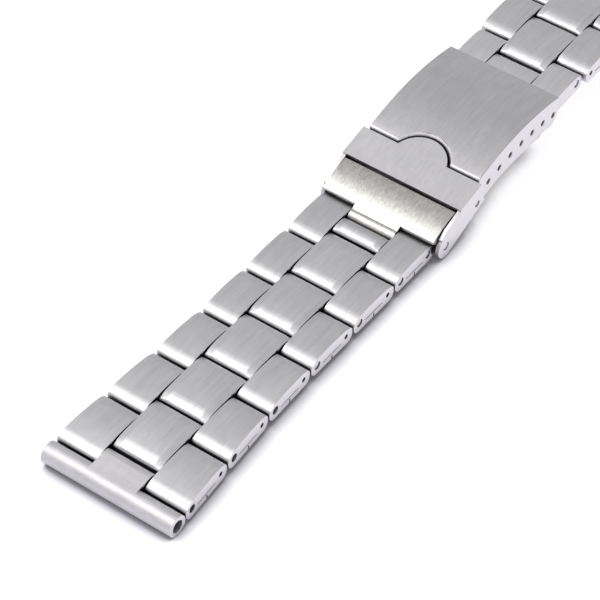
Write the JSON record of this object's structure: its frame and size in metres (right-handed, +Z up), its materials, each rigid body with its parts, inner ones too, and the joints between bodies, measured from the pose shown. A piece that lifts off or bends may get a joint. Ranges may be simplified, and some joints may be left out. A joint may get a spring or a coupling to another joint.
{
  "type": "steel watch bracelet",
  "caption": "Tapered steel watch bracelet of folded links with raised centre links, end tubes for spring bars and a fold-over clasp with a flip lock.",
  "frame": {"origin": "on the table, under the middle of the bracelet's length and width as it lies closed", "axes": "+X across the bracelet, +Y along it from the near half past the clasp to the far half, +Z up, out of the outer side of the links"},
  "size_m": [0.022, 0.1658, 0.0098],
  "materials": {
    "outer_link": "brushed along the strap",
    "centre_link": "brushed along the strap",
    "end_piece": "brushed",
    "connector": "satin",
    "cover": "brushed along the strap",
    "blade": "polished",
    "lock": "brushed along the strap",
    "pin": "turned"
  },
  "bodies": {
    "lower_blade": {"lower_blade": "blade", "clasp_end_pins": "pin", "fold_pin": "pin"},
    "near_row_6": {"near_outer_left_6": "outer_link", "near_outer_right_6": "outer_link", "near_centre_6": "centre_link", "near_pin_6": "pin"},
    "near_row_5": {"near_outer_left_5": "outer_link", "near_outer_right_5": "outer_link", "near_centre_5": "centre_link", "near_pin_5": "pin"},
    "near_row_4": {"near_outer_left_4": "outer_link", "near_outer_right_4": "outer_link", "near_centre_4": "centre_link", "near_pin_4": "pin"},
    "near_row_3": {"near_outer_left_3": "outer_link", "near_outer_right_3": "outer_link", "near_centre_3": "centre_link", "near_pin_3": "pin"},
    "near_row_2": {"near_outer_left_2": "outer_link", "near_outer_right_2": "outer_link", "near_centre_2": "centre_link", "near_pin_2": "pin"},
    "near_row_1": {"near_outer_left_1": "outer_link", "near_outer_right_1": "outer_link", "near_centre_1": "centre_link", "near_pin_1": "pin"},
    "near_end_piece": {"near_end_piece": "end_piece"},
    "upper_blade": {"upper_blade": "blade"},
    "cover": {"cover": "cover", "cover_pin": "pin", "spring_bar": "pin"},
    "connector": {"connector": "connector", "connector_pin": "pin"},
    "far_row_6": {"far_outer_left_6": "outer_link", "far_outer_right_6": "outer_link", "far_centre_6": "centre_link", "far_pin_6": "pin"},
    "far_row_5": {"far_outer_left_5": "outer_link", "far_outer_right_5": "outer_link", "far_centre_5": "centre_link", "far_pin_5": "pin"},
    "far_row_4": {"far_outer_left_4": "outer_link", "far_outer_right_4": "outer_link", "far_centre_4": "centre_link", "far_pin_4": "pin"},
    "far_row_3": {"far_outer_left_3": "outer_link", "far_outer_right_3": "outer_link", "far_centre_3": "centre_link", "far_pin_3": "pin"},
    "far_row_2": {"far_outer_left_2": "outer_link", "far_outer_right_2": "outer_link", "far_centre_2": "centre_link", "far_pin_2": "pin"},
    "far_row_1": {"far_outer_left_1": "outer_link", "far_outer_right_1": "outer_link", "far_centre_1": "centre_link", "far_pin_1": "pin"},
    "far_end_piece": {"far_end_piece": "end_piece"},
    "safety_lock": {"safety_lock": "lock"}
  },
  "joints": [
    {"name": "near_row_6_hinge", "type": "hinge", "parent": "lower_blade", "child": "near_row_6", "pos_m": [0, -0.02126, 0.00263], "axis": [1, 0, 0], "range_deg": [-5, 30]},
    {"name": "near_row_5_hinge", "type": "hinge", "parent": "near_row_6", "child": "near_row_5", "pos_m": [0, -0.02801, 0.00263], "axis": [1, 0, 0], "range_deg": [-5, 30]},
    {"name": "near_row_4_hinge", "type": "hinge", "parent": "near_row_5", "child": "near_row_4", "pos_m": [0, -0.03801, 0.00263], "axis": [1, 0, 0], "range_deg": [-5, 30]},
    {"name": "near_row_3_hinge", "type": "hinge", "parent": "near_row_4", "child": "near_row_3", "pos_m": [0, -0.04801, 0.00263], "axis": [1, 0, 0], "range_deg": [-5, 30]},
    {"name": "near_row_2_hinge", "type": "hinge", "parent": "near_row_3", "child": "near_row_2", "pos_m": [0, -0.05801, 0.00263], "axis": [1, 0, 0], "range_deg": [-5, 30]},
    {"name": "near_row_1_hinge", "type": "hinge", "parent": "near_row_2", "child": "near_row_1", "pos_m": [0, -0.06801, 0.00255], "axis": [1, 0, 0], "range_deg": [-5, 30]},
    {"name": "near_end_hinge", "type": "hinge", "parent": "near_row_1", "child": "near_end_piece", "pos_m": [0, -0.078, 0.00211], "axis": [1, 0, 0], "range_deg": [-5, 30]},
    {"name": "fold_hinge", "type": "hinge", "parent": "lower_blade", "child": "upper_blade", "pos_m": [0, 0.00824, 0.00399], "axis": [-1, 0, 0], "range_deg": [0, 160]},
    {"name": "cover_hinge", "type": "hinge", "parent": "upper_blade", "child": "cover", "pos_m": [0, -0.00646, 0.00576], "axis": [1, 0, 0], "range_deg": [0, 160]},
    {"name": "connector_hinge", "type": "hinge", "parent": "cover", "child": "connector", "pos_m": [0, 0.01071, 0.00608], "axis": [-1, 0, 0], "range_deg": [-8, 30]},
    {"name": "far_row_6_hinge", "type": "hinge", "parent": "connector", "child": "far_row_6", "pos_m": [0, 0.01825, 0.00648], "axis": [-1, 0, 0], "range_deg": [-5, 30]},
    {"name": "far_row_5_hinge", "type": "hinge", "parent": "far_row_6", "child": "far_row_5", "pos_m": [0, 0.02825, 0.00665], "axis": [-1, 0, 0], "range_deg": [-5, 30]},
    {"name": "far_row_4_hinge", "type": "hinge", "parent": "far_row_5", "child": "far_row_4", "pos_m": [0, 0.03824, 0.0063], "axis": [-1, 0, 0], "range_deg": [-5, 30]},
    {"name": "far_row_3_hinge", "type": "hinge", "parent": "far_row_4", "child": "far_row_3", "pos_m": [0, 0.0482, 0.00543], "axis": [-1, 0, 0], "range_deg": [-5, 30]},
    {"name": "far_row_2_hinge", "type": "hinge", "parent": "far_row_3", "child": "far_row_2", "pos_m": [0, 0.0581, 0.00404], "axis": [-1, 0, 0], "range_deg": [-5, 30]},
    {"name": "far_row_1_hinge", "type": "hinge", "parent": "far_row_2", "child": "far_row_1", "pos_m": [0, 0.06801, 0.00265], "axis": [-1, 0, 0], "range_deg": [-5, 30]},
    {"name": "far_end_hinge", "type": "hinge", "parent": "far_row_1", "child": "far_end_piece", "pos_m": [0, 0.07797, 0.00178], "axis": [-1, 0, 0], "range_deg": [-5, 30]},
    {"name": "lock_hinge", "type": "hinge", "parent": "lower_blade", "child": "safety_lock", "pos_m": [0, -0.01816, 0.00238], "axis": [1, 0, 0], "range_deg": [0, 105]}
  ],
  "couplings": [
    {"joint": "cover_hinge", "follows": "fold_hinge", "ratio": 1}
  ]
}
